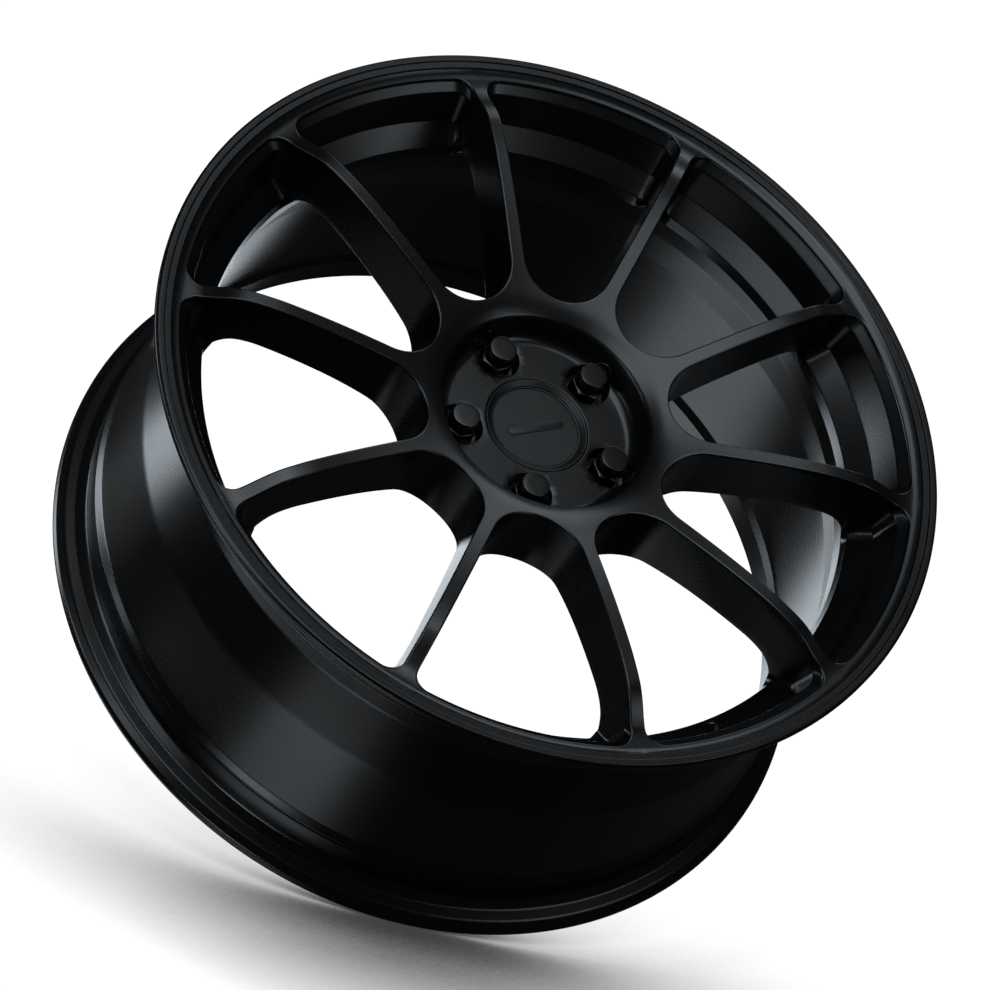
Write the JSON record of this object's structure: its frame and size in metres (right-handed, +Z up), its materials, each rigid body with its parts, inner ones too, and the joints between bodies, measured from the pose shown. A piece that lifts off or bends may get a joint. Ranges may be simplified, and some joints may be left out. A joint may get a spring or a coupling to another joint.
{
  "type": "racing wheel",
  "caption": "Forged one-piece racing wheel with straight radial spokes, a deep drop-centre barrel, recessed lug nuts on taper seats and a snap-in centre cap.",
  "frame": {"origin": "centre of the wheel's bounding box, on its axis, 109.95 mm behind the front lip plane", "axes": "+Y along the wheel's axis from the outer face to the car, +Z up, +X to the right when the outer face is looked at"},
  "size_m": [0.497, 0.2294, 0.497],
  "materials": {
    "wheel_paint": "satin black powder coat on forged aluminium",
    "nut_steel": "black chromate, satin",
    "seat_steel": "black oxide, dry lubricant",
    "cap_plastic": "satin black moulded plastic",
    "emblem": "satin black disc with a plain raised bar",
    "spring_steel": "bright spring wire"
  },
  "bodies": {
    "wheel": {"rim_barrel": "wheel_paint", "hub_centre": "wheel_paint", "spoke_01": "wheel_paint", "spoke_02": "wheel_paint", "spoke_03": "wheel_paint", "spoke_04": "wheel_paint", "spoke_05": "wheel_paint", "spoke_06": "wheel_paint", "spoke_07": "wheel_paint", "spoke_08": "wheel_paint", "spoke_09": "wheel_paint", "spoke_10": "wheel_paint"},
    "lug_seat_1": {"lug_seat_1": "seat_steel"},
    "lug_nut_1": {"lug_nut_1": "nut_steel"},
    "lug_seat_2": {"lug_seat_2": "seat_steel"},
    "lug_nut_2": {"lug_nut_2": "nut_steel"},
    "lug_seat_3": {"lug_seat_3": "seat_steel"},
    "lug_nut_3": {"lug_nut_3": "nut_steel"},
    "lug_seat_4": {"lug_seat_4": "seat_steel"},
    "lug_nut_4": {"lug_nut_4": "nut_steel"},
    "lug_seat_5": {"lug_seat_5": "seat_steel"},
    "lug_nut_5": {"lug_nut_5": "nut_steel"},
    "centre_cap": {"cap_shell": "cap_plastic", "cap_emblem": "emblem", "cap_spring_ring": "spring_steel"}
  },
  "joints": [
    {"name": "lug_1_back_off", "type": "slide", "parent": "wheel", "child": "lug_seat_1", "axis": [0, -1, 0], "range_m": [0, 0.018]},
    {"name": "lug_1_turn", "type": "hinge", "parent": "lug_seat_1", "child": "lug_nut_1", "pos_m": [0.04045, -0.07395, 0.02939], "axis": [0, -1, 0], "range_deg": [0, 4320]},
    {"name": "lug_2_back_off", "type": "slide", "parent": "wheel", "child": "lug_seat_2", "axis": [0, -1, 0], "range_m": [0, 0.018]},
    {"name": "lug_2_turn", "type": "hinge", "parent": "lug_seat_2", "child": "lug_nut_2", "pos_m": [-0.01545, -0.07395, 0.04755], "axis": [0, -1, 0], "range_deg": [0, 4320]},
    {"name": "lug_3_back_off", "type": "slide", "parent": "wheel", "child": "lug_seat_3", "axis": [0, -1, 0], "range_m": [0, 0.018]},
    {"name": "lug_3_turn", "type": "hinge", "parent": "lug_seat_3", "child": "lug_nut_3", "pos_m": [-0.05, -0.07395, 0], "axis": [0, -1, 0], "range_deg": [0, 4320]},
    {"name": "lug_4_back_off", "type": "slide", "parent": "wheel", "child": "lug_seat_4", "axis": [0, -1, 0], "range_m": [0, 0.018]},
    {"name": "lug_4_turn", "type": "hinge", "parent": "lug_seat_4", "child": "lug_nut_4", "pos_m": [-0.01545, -0.07395, -0.04755], "axis": [0, -1, 0], "range_deg": [0, 4320]},
    {"name": "lug_5_back_off", "type": "slide", "parent": "wheel", "child": "lug_seat_5", "axis": [0, -1, 0], "range_m": [0, 0.018]},
    {"name": "lug_5_turn", "type": "hinge", "parent": "lug_seat_5", "child": "lug_nut_5", "pos_m": [0.04045, -0.07395, -0.02939], "axis": [0, -1, 0], "range_deg": [0, 4320]},
    {"name": "cap_pull_off", "type": "slide", "parent": "wheel", "child": "centre_cap", "axis": [0, -1, 0], "range_m": [0, 0.04]}
  ],
  "couplings": [
    {"joint": "lug_1_back_off", "follows": "lug_1_turn", "m_per_rad": 0.00023873},
    {"joint": "lug_2_back_off", "follows": "lug_2_turn", "m_per_rad": 0.00023873},
    {"joint": "lug_3_back_off", "follows": "lug_3_turn", "m_per_rad": 0.00023873},
    {"joint": "lug_4_back_off", "follows": "lug_4_turn", "m_per_rad": 0.00023873},
    {"joint": "lug_5_back_off", "follows": "lug_5_turn", "m_per_rad": 0.00023873}
  ]
}
